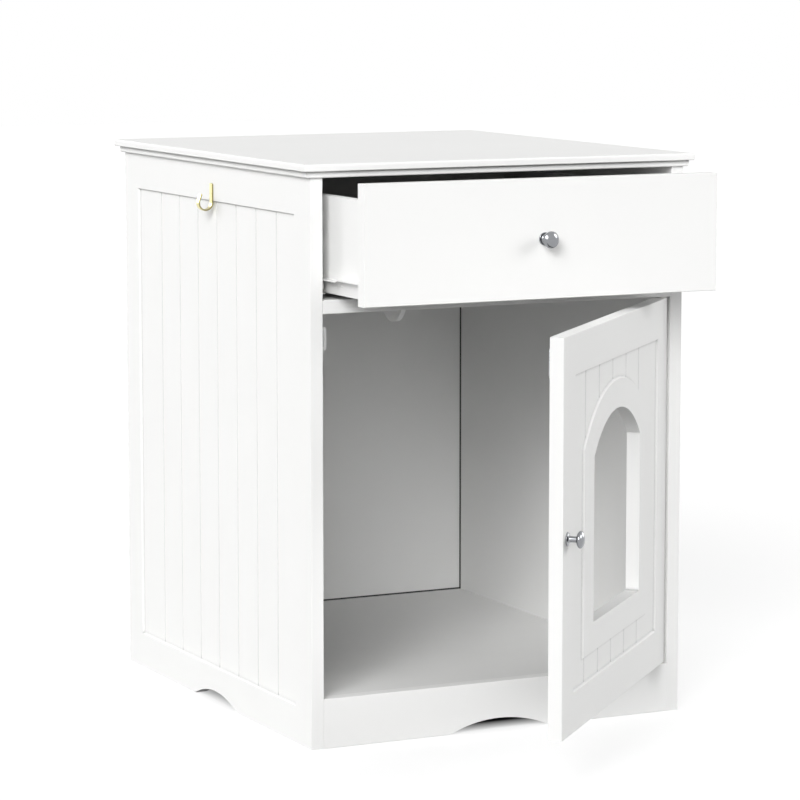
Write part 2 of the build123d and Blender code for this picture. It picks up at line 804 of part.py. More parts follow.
def strike_plate():
    """The steel plate on the door's back that the magnet holds."""
    half = strike_height / 2
    plate = block(strike_x, (door_back, door_back + strike_thickness), (catch_z - half, catch_z + half))
    plate = fillet(plate.edges().filter_by(Axis.Y), strike_thickness)
    return plate - screw_hole(strike_spot, (0, 1, 0), screw_length)


def strike_screw():
    """The screw through the strike plate, with a thin head that clears the magnet's plates."""
    return screw(strike_spot, (0, 1, 0), screw_length, screw_radius, screw_head_radius,
                 catch_air * strike_head_share)


# Drawer

drawer_knob_spot = (0, front_edge, (drawer_face_under + drawer_face_top) / 2)
drawer_joints = []
for side in (-1, 1):
    mid_x = side * (drawer_half - drawer_wall / 2)
    for share in drawer_joint_shares:
        spot = (mid_x, drawer_front_back, drawer_floor_top + (drawer_rim - drawer_floor_top) * share)
        joint = cam_joint(spot, (0, -1, 0), (-side, 0, 0), drawer_wall, drawer_cam_radius)
        drawer_joints.append((side, joint))


def drawer_back_screws(side):
    """Places of the screws through one drawer side into the drawer's back."""
    y = drawer_rear - drawer_wall / 2
    rise = drawer_rim - drawer_floor_top
    return [(side * drawer_half, y, drawer_floor_top + rise * share) for share in drawer_joint_shares]


def drawer_groove():
    """The slot round the drawer's inside that holds its bottom."""
    half = drawer_inner_half + drawer_groove_depth
    run = (drawer_front_back - drawer_groove_depth, drawer_rear - drawer_wall + drawer_groove_depth)
    return block((-half, half), run, (drawer_floor_under - fastener_play, drawer_floor_top + fastener_play))


def drawer_face():
    """The drawer's front board."""
    panel = block((-drawer_face_half, drawer_face_half), (front_edge, drawer_front_back),
                  (drawer_face_under, drawer_face_top))
    panel = fillet(panel.faces().sort_by(Axis.Y)[0].edges(), edge_ease)
    cuts = [j["face_cut"] for _, j in drawer_joints] + [drawer_groove()]
    cuts.append(knob_hole(drawer_knob_spot, (0, -1, 0), board))
    return cut_all(panel, cuts)


def drawer_wall_panel(side):
    """One side of the drawer."""
    panel = block((side * drawer_half, side * drawer_inner_half), (drawer_front_back, drawer_rear),
                  (drawer_under, drawer_rim))
    panel = fillet(panel.faces().sort_by(Axis.Z)[-1].edges().filter_by(Axis.Y), edge_ease)
    cuts = [drawer_groove()] + [j["edge_cut"] for s, j in drawer_joints if s == side]
    cuts += [screw_hole(spot, (side, 0, 0), screw_length) for spot in runner_screws(side)]
    cuts += [screw_hole(spot, (side, 0, 0), long_screw_length) for spot in drawer_back_screws(side)]
    return cut_all(panel, cuts)


def drawer_back_panel():
    """The drawer's back board, between its sides."""
    panel = block((-drawer_inner_half, drawer_inner_half), (drawer_rear - drawer_wall, drawer_rear),
                  (drawer_under, drawer_rim))
    cuts = [drawer_groove()]
    for s in (-1, 1):
        cuts += [screw_hole(spot, (s, 0, 0), long_screw_length) for spot in drawer_back_screws(s)]
    return cut_all(panel, cuts)


def drawer_bottom_panel():
    """The thin board that slides into the drawer's grooves."""
    half = drawer_inner_half + drawer_groove_depth - back_play
    front = drawer_front_back - drawer_groove_depth + back_play
    rear = drawer_rear - drawer_wall + drawer_groove_depth - back_play
    return block((-half, half), (front, rear), (drawer_floor_under, drawer_floor_top))


# Writing the nodes

os.makedirs("parts", exist_ok=True)
both = (-1, 1)

save("back_panel", [back_panel()])
save("bottom_panel", [floor_panel()])
save("middle_panel", [mid_panel()])
save("front_apron", [front_apron()])
save("top_board", [top_board()])
all_cams = [j for joints in cams.values() for _, j in joints]
save("cabinet_cam_locks", [j["cam"] for j in all_cams])
save("cabinet_cam_bolts", [j["bolt"] for j in all_cams])
save("cabinet_dowels", [j["dowel"] for joints in dowels.values() for _, j in joints])
save("side_hook", [hook()])
save("hook_screw", [screw(hook_screw_spot, (1, 0, 0), board + hook_thickness / 2 - fastener_play,
                          hook_screw_radius, 2 * hook_screw_radius, screw_head)])
save("door_stop", [door_stop()])
stop_screw_length = board - 2 * screw_head + stop_screw_bite - fastener_play
save("door_stop_screws", [screw((stop_screw_x, row, mid_top - 2 * screw_head), (0, 0, 1), stop_screw_length)
                          for row in stop_screw_rows])
catch_case, catch_magnet, catch_plates, catch_screw = catch_parts()
save("catch_case", [catch_case])
save("catch_magnet", [catch_magnet])
save("catch_pole_plates", catch_plates)
save("catch_screw", [catch_screw])
save("upper_pivot_bush", [bush((pivot_x, pivot_y, mid_under), (0, 0, 1))])
save("lower_pivot_bush", [bush((pivot_x, pivot_y, floor_top), (0, 0, -1))])

save("door_panel", [swung_open(door_panel())])
save("upper_pivot_pin", [swung_open(pivot_pin(door_top, 1))])
save("lower_pivot_pin", [swung_open(pivot_pin(door_under, -1))])
save("door_knob", [swung_open(knob(door_knob_spot, (0, -1, 0)))])
save("door_knob_screw", [swung_open(knob_screw(door_knob_spot, (0, -1, 0), door_thickness))])
save("strike_plate", [swung_open(strike_plate())])
save("strike_screw", [swung_open(strike_screw())])

save("drawer_front", [drawn_out(drawer_face())])
save("drawer_back", [drawn_out(drawer_back_panel())])
save("drawer_bottom", [drawn_out(drawer_bottom_panel())])
save("drawer_knob", [drawn_out(knob(drawer_knob_spot, (0, -1, 0)))])
save("drawer_knob_screw", [drawn_out(knob_screw(drawer_knob_spot, (0, -1, 0), board))])
save("drawer_cam_locks", [drawn_out(j["cam"]) for _, j in drawer_joints])
save("drawer_cam_bolts", [drawn_out(j["bolt"]) for _, j in drawer_joints])
save("drawer_back_screws", [drawn_out(screw(spot, (side, 0, 0), long_screw_length))
                            for side in both for spot in drawer_back_screws(side)])
save("drawer_runner_screws", [drawn_out(screw(spot, (side, 0, 0), screw_length))
                              for side in both for spot in runner_screws(side)])
save("channel_screws", [screw(spot, (-side, 0, 0), screw_length)
                        for side in both for spot in channel_screws(side)])

for side in both:
    name = side_name(side)
    save(name + "_side_panel", [side_panel(side)])
    save(name + "_slide_channel", [channel(side)])
    wheel, axle = roller_set(side * inner_half, -side, front_roller_y, front_roller_z)
    save("front_" + name + "_roller", [wheel])
    save("front_" + name + "_roller_axle", [axle])
    save("drawer_" + name + "_side", [drawn_out(drawer_wall_panel(side))])
    save(name + "_drawer_runner", [drawn_out(runner(side))])
    wheel, axle = roller_set(side * drawer_half, side, rear_roller_y, rear_roller_z)
    save("rear_" + name + "_roller", [drawn_out(wheel)])
    save("rear_" + name + "_roller_axle", [drawn_out(axle)])
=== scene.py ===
import json
import math

import bmesh
import bpy
import numpy as np
from mathutils import Euler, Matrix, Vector


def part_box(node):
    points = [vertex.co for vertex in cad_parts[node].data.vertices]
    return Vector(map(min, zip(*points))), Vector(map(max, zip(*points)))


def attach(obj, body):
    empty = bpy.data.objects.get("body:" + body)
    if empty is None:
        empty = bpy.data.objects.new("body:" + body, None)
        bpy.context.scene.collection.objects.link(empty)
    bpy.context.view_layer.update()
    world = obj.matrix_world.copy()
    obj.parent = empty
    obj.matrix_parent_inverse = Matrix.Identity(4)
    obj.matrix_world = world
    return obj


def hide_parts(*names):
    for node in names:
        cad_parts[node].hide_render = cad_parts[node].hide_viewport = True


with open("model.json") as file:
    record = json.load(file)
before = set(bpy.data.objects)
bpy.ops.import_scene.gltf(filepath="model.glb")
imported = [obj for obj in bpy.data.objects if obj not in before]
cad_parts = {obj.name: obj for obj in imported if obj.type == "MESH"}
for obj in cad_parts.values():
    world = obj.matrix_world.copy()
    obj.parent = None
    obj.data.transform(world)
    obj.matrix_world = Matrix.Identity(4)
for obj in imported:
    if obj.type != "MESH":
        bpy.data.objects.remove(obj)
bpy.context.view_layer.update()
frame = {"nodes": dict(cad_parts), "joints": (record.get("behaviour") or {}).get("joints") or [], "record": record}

MM = 0.001
WHITE = (1.0, 1.0, 1.0, 1.0)

# The photograph's camera: focal length in pixels of its square frame, and where it stands in the part's frame
FRAME_PIXELS = 800
FOCAL_PIXELS = 3441.1
SENSOR_MM = 36.0
CAMERA_PLACE_MM = (-1750.3, -3840.7, 864.2)
CAMERA_YAW = 0.45547
CAMERA_PITCH = -0.13087
CAMERA_REACH_M = 120.0

# Turned knobs, along the axis from the board
KNOB_FLANGE_RADIUS_MM = 7.2
KNOB_FLANGE_MM = 1.4
KNOB_SWEEP_MM = 2.6
KNOB_NECK_RADIUS_MM = 3.2
KNOB_HEAD_RADIUS_MM = 9.15
KNOB_HEAD_MM = 8.2
KNOB_LENGTH_MM = 18.2
KNOB_TURNS = 96
KNOB_EDGE_STEPS = 16
KNOB_HEAD_STEPS = 48
# Vertices this close to a knob's lowest one belong to its seat
SEAT_LEVEL_MM = 0.05

# Brass strip hook
HOOK_THICKNESS_MM = 1.8
HOOK_TIP_HEIGHT_MM = 19.5
HOOK_TIP_LEAN = math.radians(20)
HOOK_END_ROUND_MM = 2.0
HOOK_STRAIGHT_STEPS = 24
HOOK_BEND_STEPS = 64
HOOK_SECTION_STEPS = 48
HOOK_SECTION_POWER = 0.35
# The marks of the strip's sheared edges, where a painted shade darkens the brass, and how steeply they rise from
# none on its flats to all
EDGE_SHADE_MARK = "painted_edge_shade"
EDGE_SHADE_SLOPE = 3.0

# Points closer than this become one, and edges that bend more than this stay sharp
MERGE_MM = 0.002
SHARP_EDGE = math.radians(38)

# Thickness of the side panels, how far in from the cabinet's edges its inside starts, and the slack of
# what still counts as inside
BOARD_MM = 15.0
EDGE_FACING_MM = 1.2
INSIDE_SLACK_MM = 0.1
# Painted shade in the grooves: how far round a point is looked at, and the open shares from which it is all shade
# or none
CREASE_MM = 4.0
CREASE_CLOSED = 0.5
CREASE_OPEN = 0.9
CREASE_SAMPLES = 4
# Open joint round the back panel, as it shows beside the walls and over the floor, on its front face alone
JOINT_SIDE_MM = 1.2
JOINT_FLOOR_MM = 1.6
JOINT_DEPTH_MM = 0.5

# Octaves of the noise in an even finish and in a grained one
TINT_DETAIL = 3.0
ROUGH_DETAIL = 4.0
RELIEF_DETAIL = 2.0
GRAIN_DETAIL = 6.0
GRAIN_RELIEF_DETAIL = 4.0
# Patches of even roughness that fit along a patch of even tint
ROUGH_PER_TINT = 3

# Studio
FLOOR_HALF_M = 12.0
# Broad lights: degrees from the front towards the left side, degrees above the floor, strength
SOFT_LIGHTS = ((45, 28, 17.0), (22, 16, 6.3), (300, 20, 8.7), (255, 10, 6.5), (130, 12, 7.5), (160, 10, 6.0),
               (180, 75, 2.5))
LIGHT_FALLOFF = 40.0
AMBIENT = 0.02
# The floor's reflectance for the light that it throws back, and in view: clear of the cabinet, and below it, where
# a darker floor is a painted shadow
FLOOR_BOUNCE = 0.25
FLOOR_PALE = 0.4
FLOOR_UNDER_SHADOW = 0.1
# What lifts the clear floor to white in view, and how far in below the top the shade starts and is full
FLOOR_LIFT = 0.68
FLOOR_SHADE_START_MM = 12.5
FLOOR_SHADE_FULL_MM = 50.0


# Colours and shader nodes


def linear(hex_colour):
    """An sRGB hex colour as linear red, green, blue and alpha."""
    values = np.array([int(hex_colour[i:i + 2], 16) for i in (1, 3, 5)]) / 255
    low = values / 12.92
    high = ((values + 0.055) / 1.055) ** 2.4
    return (*np.where(values <= 0.04045, low, high).tolist(), 1.0)


def add(tree, kind, inputs=None, **settings):
    """One shader node with its settings; each input takes a value, or the socket that is linked to it."""
    node = tree.nodes.new(kind)
    for name, value in settings.items():
        setattr(node, name, value)
    for key, value in (inputs or {}).items():
        if isinstance(value, bpy.types.NodeSocket):
            tree.links.new(value, node.inputs[key])
        else:
            node.inputs[key].default_value = value
    return node


def scale_of(size_mm):
    """The noise scale, in features per metre, of a feature this many millimetres across."""
    return 1.0 / (size_mm * MM)


def new_material(name):
    """A material with an empty node tree."""
    material = bpy.data.materials.new(name)
    material.use_nodes = True
    material.node_tree.nodes.clear()
    return material, material.node_tree


def mottled(tree, coords, size_mm, tints, detail):
    """Two close tints that drift into each other over patches of this size."""
    noise = add(tree, "ShaderNodeTexNoise", {"Vector": coords, "Scale": scale_of(size_mm), "Detail": detail})
    blend = {"Factor": noise.outputs["Fac"], "A": linear(tints[0]), "B": linear(tints[1])}
    return add(tree, "ShaderNodeMix", blend, data_type="RGBA").outputs["Result"]


def rough_between(tree, coords, size_mm, rough):
    """A roughness that drifts between two values over patches of this size."""
    noise = add(tree, "ShaderNodeTexNoise", {"Vector": coords, "Scale": scale_of(size_mm),
                                             "Detail": ROUGH_DETAIL})
    drift = {"Value": noise.outputs["Fac"], "To Min": rough[0], "To Max": rough[1]}
    return add(tree, "ShaderNodeMapRange", drift).outputs["Result"]


def bumped(tree, coords, size_mm, height_mm, detail):
    """A fine relief of this feature size and height, as a normal."""
    noise = add(tree, "ShaderNodeTexNoise", {"Vector": coords, "Scale": scale_of(size_mm), "Detail": detail})
    relief = {"Height": noise.outputs["Fac"], "Strength": 1.0, "Distance": height_mm * MM}
    return add(tree, "ShaderNodeBump", relief).outputs["Normal"]


# Materials, each made for one finish of the enclosure


def layer(tree, tints, patch_mm, rough, relief_mm, height_mm, ior=1.5, metallic=0.0, crease_shade=None):
    """A finish's shader: tints that drift over patches, drifting roughness and a fine relief.

    With a crease shade tint, the colour goes over to it where the board's own shape closes in, as in a groove: a
    painted shade in the crease.
    """
    coords = add(tree, "ShaderNodeTexCoord").outputs["Object"]
    colour = mottled(tree, coords, patch_mm, tints, TINT_DETAIL)
    if crease_shade:
        # Painted shade: grey where little room is open round the point, as in a groove
        room = add(tree, "ShaderNodeAmbientOcclusion", {"Distance": CREASE_MM * MM},
                   only_local=True, samples=CREASE_SAMPLES)
        unshaded = add(tree, "ShaderNodeMapRange", {"Value": room.outputs["AO"], "From Min": CREASE_CLOSED,
                                                 "From Max": CREASE_OPEN})
        blend = {"Factor": unshaded.outputs["Result"], "A": linear(crease_shade), "B": colour}
        colour = add(tree, "ShaderNodeMix", blend, data_type="RGBA").outputs["Result"]
    shader = add(tree, "ShaderNodeBsdfPrincipled", {
        "Base Color": colour,
        "Roughness": rough_between(tree, coords, patch_mm / ROUGH_PER_TINT, rough),
        "Normal": bumped(tree, coords, relief_mm, height_mm, RELIEF_DETAIL),
        "IOR": ior,
        "Metallic": metallic})
    return shader.outputs["BSDF"]


def coat(name, **finish):
    """A material with one finish all over."""
    material, tree = new_material(name)
    add(tree, "ShaderNodeOutputMaterial", {"Surface": layer(tree, **finish)})
    return material


def grained(name, tints, stretch, grain_mm, rough, height_mm, metallic=0.0, edge_shade_tints=None):
    """A finish with streaks along one axis: noise squeezed across the streaks and drawn out along them.

    With edge shade tints, the piece's own marks of its sheared edges blend in those darker tints: a painted shade
    on the narrow edges.
    """
    material, tree = new_material(name)
    coords = add(tree, "ShaderNodeTexCoord").outputs["Object"]
    drawn = add(tree, "ShaderNodeMapping", {"Vector": coords, "Scale": stretch}).outputs["Vector"]
    colour = mottled(tree, drawn, grain_mm, tints, GRAIN_DETAIL)
    if edge_shade_tints:
        edge = mottled(tree, drawn, grain_mm, edge_shade_tints, GRAIN_DETAIL)
        mark = add(tree, "ShaderNodeAttribute", attribute_name=EDGE_SHADE_MARK).outputs["Fac"]
        blend = {"Factor": mark, "A": colour, "B": edge}
        colour = add(tree, "ShaderNodeMix", blend, data_type="RGBA").outputs["Result"]
    shader = add(tree, "ShaderNodeBsdfPrincipled", {
        "Base Color": colour,
        "Roughness": rough_between(tree, drawn, grain_mm, rough),
        "Normal": bumped(tree, drawn, grain_mm, height_mm, GRAIN_RELIEF_DETAIL),
        "Metallic": metallic})
    add(tree, "ShaderNodeOutputMaterial", {"Surface": shader.outputs["BSDF"]})
    return material


# Sprayed matt lacquer on fibreboard: even white, hardly any sheen, a painted shade of grey at the bottom of the
# routed grooves, and a faint orange peel, which is drawn a few times coarser than the real one so that it shows.
LACQUER = dict(tints=("#F0F0EF", "#EDEDEC"), patch_mm=120.0, rough=(0.74, 0.84), relief_mm=5.0,
               height_mm=0.006, crease_shade="#ABABAA")
# Melamine paper on the faces inside the carcass: matt, and greyer than the lacquer, a grey that partly paints in
# the shade inside the carcass.
SHADED_MELAMINE = dict(tints=("#E6E6E5", "#E3E3E2"), patch_mm=70.0, rough=(0.7, 0.8), relief_mm=3.0, height_mm=0.006)
# Painted shade: a grey finish on the faces inside the drawer, standing in for the shade in there.
DRAWER_PAINTED_SHADE = dict(tints=("#A6A6A5", "#A0A09F"), patch_mm=60.0, rough=(0.5, 0.6), relief_mm=3.0,
                   height_mm=0.006)
# The open joint round the back panel: raw board edges in shade.
JOINT_SHADE = dict(tints=("#454443", "#3C3B3A"), patch_mm=20.0, rough=(0.7, 0.8), relief_mm=2.0,
                   height_mm=0.01)
CARCASS = ("left_side_panel", "right_side_panel", "bottom_panel", "middle_panel")
DRAWER_BOX = ("drawer_front", "drawer_left_side", "drawer_right_side", "drawer_back", "drawer_bottom")


def make_finishes():
    """One material for each of the record's slots."""
    return {
        "white_lacquered_board": coat("matt_white_lacquer", **LACQUER),
        # Printed white film on thin hardboard: a little flatter and greyer than the lacquer.
        "white_hardboard": coat("white_film_hardboard", tints=("#EEEEED", "#EBEBEA"), patch_mm=90.0,
                                rough=(0.45, 0.55), relief_mm=4.0, height_mm=0.006),
        # Chrome plate on a turned knob: a mirror with the faintest lathe haze.
        "polished_chrome": coat("polished_chrome", tints=("#97999C", "#929497"), patch_mm=6.0,
                                rough=(0.05, 0.09), relief_mm=1.5, height_mm=0.0006, metallic=1.0),
        # Rolled and tumbled brass strip: pale yellow and satin, with hairlines along it, and a painted shade on
        # its narrow edges.
        "brass": grained("satin_brass", tints=("#EAE1AE", "#DFD49A"), stretch=(1.0, 1.0, 0.06), grain_mm=0.9,
                         rough=(0.2, 0.3), height_mm=0.002, metallic=1.0, edge_shade_tints=("#ADA473", "#9C9260")),
        # Epoxy powder baked on steel: white, slightly pebbled.
        "white_epoxy_steel": coat("white_epoxy_powder", tints=("#EDEDEC", "#E8E8E7"), patch_mm=40.0,
                                  rough=(0.32, 0.42), relief_mm=2.5, height_mm=0.01),
        # Moulded nylon: milky and dull.
        "white_nylon": coat("moulded_nylon", tints=("#E9E8E4", "#E3E2DD"), patch_mm=8.0,
                            rough=(0.45, 0.6), relief_mm=1.5, height_mm=0.01, ior=1.53),
        # Die cast zinc: grey, with a dull cast skin.
        "zinc_cast": coat("die_cast_zinc", tints=("#A3A4A5", "#95979A"), patch_mm=5.0,
                          rough=(0.38, 0.52), relief_mm=1.0, height_mm=0.01, metallic=1.0),
        # Bright zinc plate on steel screws, plates and pins.
        "bright_steel": coat("zinc_plated_steel", tints=("#C3C5C8", "#B4B7BB"), patch_mm=4.0,
                             rough=(0.22, 0.34), relief_mm=1.0, height_mm=0.004, metallic=1.0),
        # Turned beech dowels: bare, with grain along the dowel.
        "beech": grained("turned_beech", tints=("#CBA878", "#B8935F"), stretch=(0.08, 1.0, 1.0), grain_mm=1.2,
                         rough=(0.55, 0.7), height_mm=0.02),
        # Moulded ABS catch case: white with a light gloss.
        "white_abs": coat("moulded_abs", tints=("#EFEFEE", "#EBEBEA"), patch_mm=10.0,
                          rough=(0.25, 0.35), relief_mm=2.0, height_mm=0.004, ior=1.54),
        # Pressed ferrite: near black and granular.
        "ferrite": coat("pressed_ferrite", tints=("#2B2B2C", "#202021"), patch_mm=2.0,
                        rough=(0.6, 0.75), relief_mm=0.8, height_mm=0.02),
    }


def outside_of(tree, low, high):
    """How far a point lies outside the upright walls of a box, in metres; less than nothing inside them."""
    coords = add(tree, "ShaderNodeTexCoord").outputs["Object"]
    offset = add(tree, "ShaderNodeVectorMath", {0: coords, 1: (low + high) / 2}, operation="SUBTRACT")
    size = add(tree, "ShaderNodeVectorMath", {0: offset.outputs[0]}, operation="ABSOLUTE")
    past = add(tree, "ShaderNodeVectorMath", {0: size.outputs[0], 1: (high - low) / 2}, operation="SUBTRACT")
    x, y, _ = add(tree, "ShaderNodeSeparateXYZ", {0: past.outputs[0]}).outputs
    return add(tree, "ShaderNodeMath", {0: x, 1: y}, operation="MAXIMUM").outputs[0]


def two_faced(tree, outside, inside, low, high):
    """A board's shader, with one finish outside the upright walls of a box and another inside them."""
    past = outside_of(tree, low, high)
    within = add(tree, "ShaderNodeMath", {0: past, 1: INSIDE_SLACK_MM * MM}, operation="LESS_THAN").outputs[0]
    faces = {0: within, 1: layer(tree, **outside), 2: layer(tree, **inside)}
    return add(tree, "ShaderNodeMixShader", faces).outputs[0]


def joint_line(tree, wall, floor, face):
    """One on the back panel's front face, past the walls or under the floor, and nought elsewhere."""
    coords = add(tree, "ShaderNodeTexCoord").outputs["Object"]
    x, y, z = add(tree, "ShaderNodeSeparateXYZ", {0: coords}).outputs
    x = add(tree, "ShaderNodeMath", {0: x}, operation="ABSOLUTE").outputs[0]
    beside = add(tree, "ShaderNodeMath", {0: x, 1: wall}, operation="GREATER_THAN").outputs[0]
    below = add(tree, "ShaderNodeMath", {0: z, 1: floor}, operation="LESS_THAN").outputs[0]
    front = add(tree, "ShaderNodeMath", {0: y, 1: face}, operation="LESS_THAN").outputs[0]
    line = add(tree, "ShaderNodeMath", {0: beside, 1: below}, operation="MAXIMUM").outputs[0]
    return add(tree, "ShaderNodeMath", {0: line, 1: front}, operation="MULTIPLY").outputs[0]


def make_carcass_board(name, jointed=False):
    """Lacquer outside the cabinet and a greyer melamine inside, which partly paints in shade; on the back panel,
    also a dark line at its joint.
    """
    material, tree = new_material(name)
    low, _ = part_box("left_side_panel")
    _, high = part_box("right_side_panel")
    inset = Vector((BOARD_MM, EDGE_FACING_MM, 0)) * MM
    surface = two_faced(tree, LACQUER, SHADED_MELAMINE, low + inset, high - inset)
    if jointed:
        wall = high.x - (BOARD_MM + JOINT_SIDE_MM) * MM
        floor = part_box("bottom_panel")[1].z + JOINT_FLOOR_MM * MM
        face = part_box("back_panel")[0].y + JOINT_DEPTH_MM * MM
        faces = {0: joint_line(tree, wall, floor, face), 1: surface, 2: layer(tree, **JOINT_SHADE)}
        surface = add(tree, "ShaderNodeMixShader", faces).outputs[0]
    add(tree, "ShaderNodeOutputMaterial", {"Surface": surface})
    return material


def make_drawer_board(name):
    """Lacquer on the drawer's outer faces, and on those inside it a grey that paints in their shade."""
    material, tree = new_material(name)
    low = Vector((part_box("drawer_left_side")[1].x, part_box("drawer_front")[1].y, 0))
    high = Vector((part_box("drawer_right_side")[0].x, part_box("drawer_back")[0].y, 0))
    add(tree, "ShaderNodeOutputMaterial", {"Surface": two_faced(tree, LACQUER, DRAWER_PAINTED_SHADE, low, high)})
    return material


def dress(piece, material):
    """Gives a piece one material in all its slots."""
    piece.data.materials.clear()
    piece.data.materials.append(material)


# Surfaces worked out on a grid


def grid_piece(name, points, edge_marks=None):
    """A mesh from a grid of points: u runs round and closes, v runs along. Poles and seams are merged."""
    count_u, count_v = points.shape[:2]
    u, v = (a.ravel() for a in np.meshgrid(np.arange(count_u), np.arange(count_v - 1), indexing="ij"))
    here, beside = u * count_v + v, (u + 1) % count_u * count_v + v
    quads = np.stack([here, beside, beside + 1, here + 1], 1)
    mesh = bpy.data.meshes.new(name)
    mesh.from_pydata(points.reshape(-1, 3).tolist(), [], quads.tolist())
    if edge_marks is not None:
        mesh.attributes.new(EDGE_SHADE_MARK, "FLOAT", "POINT").data.foreach_set("value", edge_marks.ravel())
    work = bmesh.new()
    work.from_mesh(mesh)
    bmesh.ops.remove_doubles(work, verts=work.verts, dist=MERGE_MM * MM)
    bmesh.ops.dissolve_degenerate(work, edges=work.edges, dist=MERGE_MM * MM)
    bmesh.ops.recalc_face_normals(work, faces=work.faces)
    work.to_mesh(mesh)
    work.free()
    mesh.polygons.foreach_set("use_smooth", np.ones(len(mesh.polygons), bool))
    mesh.set_sharp_from_angle(angle=SHARP_EDGE)
    piece = bpy.data.objects.new(name, mesh)
    bpy.context.scene.collection.objects.link(piece)
    return piece


def arc(centre, reach, height, first, last, steps=KNOB_EDGE_STEPS):
    """Radius and height along an upright oval's arc, between two angles."""
    turn = np.linspace(first, last, steps)
    return centre[0] + reach * np.cos(turn), centre[1] + height * np.sin(turn)


def knob_profile():
    """Radius and height along a knob, in millimetres.

    A flat flange with a quarter circle at its edge; a hollow quarter circle sweeps in to the neck;
    and the head is an oval, from where the neck meets it round to the middle of its face.
    """
    edge = KNOB_FLANGE_MM / 2
    rim = arc((KNOB_FLANGE_RADIUS_MM - edge, edge), edge, edge, 0, math.pi / 2)
    sweep = (KNOB_NECK_RADIUS_MM + KNOB_SWEEP_MM, KNOB_FLANGE_MM + KNOB_SWEEP_MM)
    foot = arc(sweep, KNOB_SWEEP_MM, KNOB_SWEEP_MM, -math.pi / 2, -math.pi)
    start = -math.acos(KNOB_NECK_RADIUS_MM / KNOB_HEAD_RADIUS_MM)
    middle = (0, KNOB_LENGTH_MM - KNOB_HEAD_MM / 2)
    head = arc(middle, KNOB_HEAD_RADIUS_MM, KNOB_HEAD_MM / 2, start, math.pi / 2, KNOB_HEAD_STEPS)
    flat = ([0, KNOB_FLANGE_RADIUS_MM], [0, 0])
    return (np.concatenate(values) for values in zip(flat, rim, foot, head))


def seat_of(node, axis):
    """The middle of the ring of vertices that lies lowest along an axis: where a knob sits on its board."""
    mesh = frame["nodes"][node].data
    points = np.zeros(len(mesh.vertices) * 3)
    mesh.vertices.foreach_get("co", points)
    points = points.reshape(-1, 3)
    along = points @ axis
    ring = points[along < along.min() + SEAT_LEVEL_MM * MM]
    return (ring.min(0) + ring.max(0)) / 2


def make_knob(name, node, body, axis):
    """A turned knob: the profile swept once round its axis."""
    axis = np.array(axis)
    side = np.cross(axis, (0.0, 0.0, 1.0))
    up = np.cross(side, axis)
    radius, height = (a * MM for a in knob_profile())
    turn = np.arange(KNOB_TURNS) / KNOB_TURNS * 2 * math.pi
    spokes = np.cos(turn)[:, None] * side + np.sin(turn)[:, None] * up
    points = seat_of(node, axis) + spokes[:, None, :] * radius[None, :, None] + axis * height[None, :, None]
    knob = grid_piece(name, points)
    dress(knob, finishes["polished_chrome"])
    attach(knob, body)
    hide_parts(node)


def hook_line(low, high):
    """The strip's middle line in x and z.

    A straight stem, then over half a circle, then a straight tip that leans back in.
    """
    half = HOOK_THICKNESS_MM * MM / 2
    stem_x = high.x - half
    bend = (stem_x - half - low.x) / 2
    centre_z = low.z + half + bend
    steps = np.linspace(0, 1, HOOK_STRAIGHT_STEPS)
    stem = np.stack([np.full(HOOK_STRAIGHT_STEPS, stem_x), high.z + (centre_z - high.z) * steps], 1)
    turn = np.linspace(0, math.pi + HOOK_TIP_LEAN, HOOK_BEND_STEPS + 1)[1:]
    curl = np.stack([stem_x - bend + bend * np.cos(turn), centre_z - bend * np.sin(turn)], 1)
    rise = (low.z + HOOK_TIP_HEIGHT_MM * MM - curl[-1, 1]) * steps[1:]
    tip = curl[-1] + np.stack([rise * math.tan(HOOK_TIP_LEAN), rise], 1)
    return np.concatenate([stem, curl, tip])


def make_hook():
    """The brass hook: a superellipse section carried along the strip's line, narrowed at both round ends."""
    low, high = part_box("side_hook")
    line = hook_line(low, high)
    tangent = np.gradient(line, axis=0)
    tangent /= np.linalg.norm(tangent, axis=1)[:, None]
    across = np.stack([-tangent[:, 1], tangent[:, 0]], 1)
    run = np.concatenate([[0], np.cumsum(np.linalg.norm(np.diff(line, axis=0), axis=1))])
    from_end = np.minimum(run, run[-1] - run) / (HOOK_END_ROUND_MM * MM)
    pinch = np.sqrt(np.clip(1 - (1 - np.clip(from_end, 0, 1)) ** 2, 0, 1))
    turn = np.linspace(0, 2 * math.pi, HOOK_SECTION_STEPS, endpoint=False)
    flat = np.sign(np.cos(turn)) * np.abs(np.cos(turn)) ** HOOK_SECTION_POWER
    wide = np.sign(np.sin(turn)) * np.abs(np.sin(turn)) ** HOOK_SECTION_POWER
    half_width = (high.y - low.y) / 2
    inset = half_width - HOOK_END_ROUND_MM * MM
    width = inset + (half_width - inset) * pinch
    thick = np.full(len(line), HOOK_THICKNESS_MM * MM / 2)
    width[[0, -1]] = 0
    thick[[0, -1]] = 0
    plane = line[None] + flat[:, None, None] * (thick[:, None] * across)[None]
    y = (low.y + high.y) / 2 + wide[:, None] * width[None]
    points = np.stack([plane[..., 0], y, plane[..., 1]], -1)
    # Painted shade goes on the strip's narrow edges and none on its flats
    narrow = np.clip(0.5 + EDGE_SHADE_SLOPE * (np.abs(np.sin(turn)) - np.abs(np.cos(turn))), 0, 1)
    hook = grid_piece("brass_hook", points, np.repeat(narrow[:, None], len(line), axis=1))
    dress(hook, finishes["brass"])
    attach(hook, "cabinet")
    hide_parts("side_hook")


# Studio: floor, light and camera


def shown_behind(tree, plain, shown):
    """One shader for rays from the camera, in mirrors and through glass, and a plain one for the rest."""
    path = add(tree, "ShaderNodeLightPath").outputs
    seen = path["Is Camera Ray"]
    for ray in ("Is Glossy Ray", "Is Transmission Ray"):
        seen = add(tree, "ShaderNodeMath", {0: seen, 1: path[ray]}, operation="MAXIMUM").outputs[0]
    return add(tree, "ShaderNodeMixShader", {0: seen, 1: plain, 2: shown}).outputs[0]


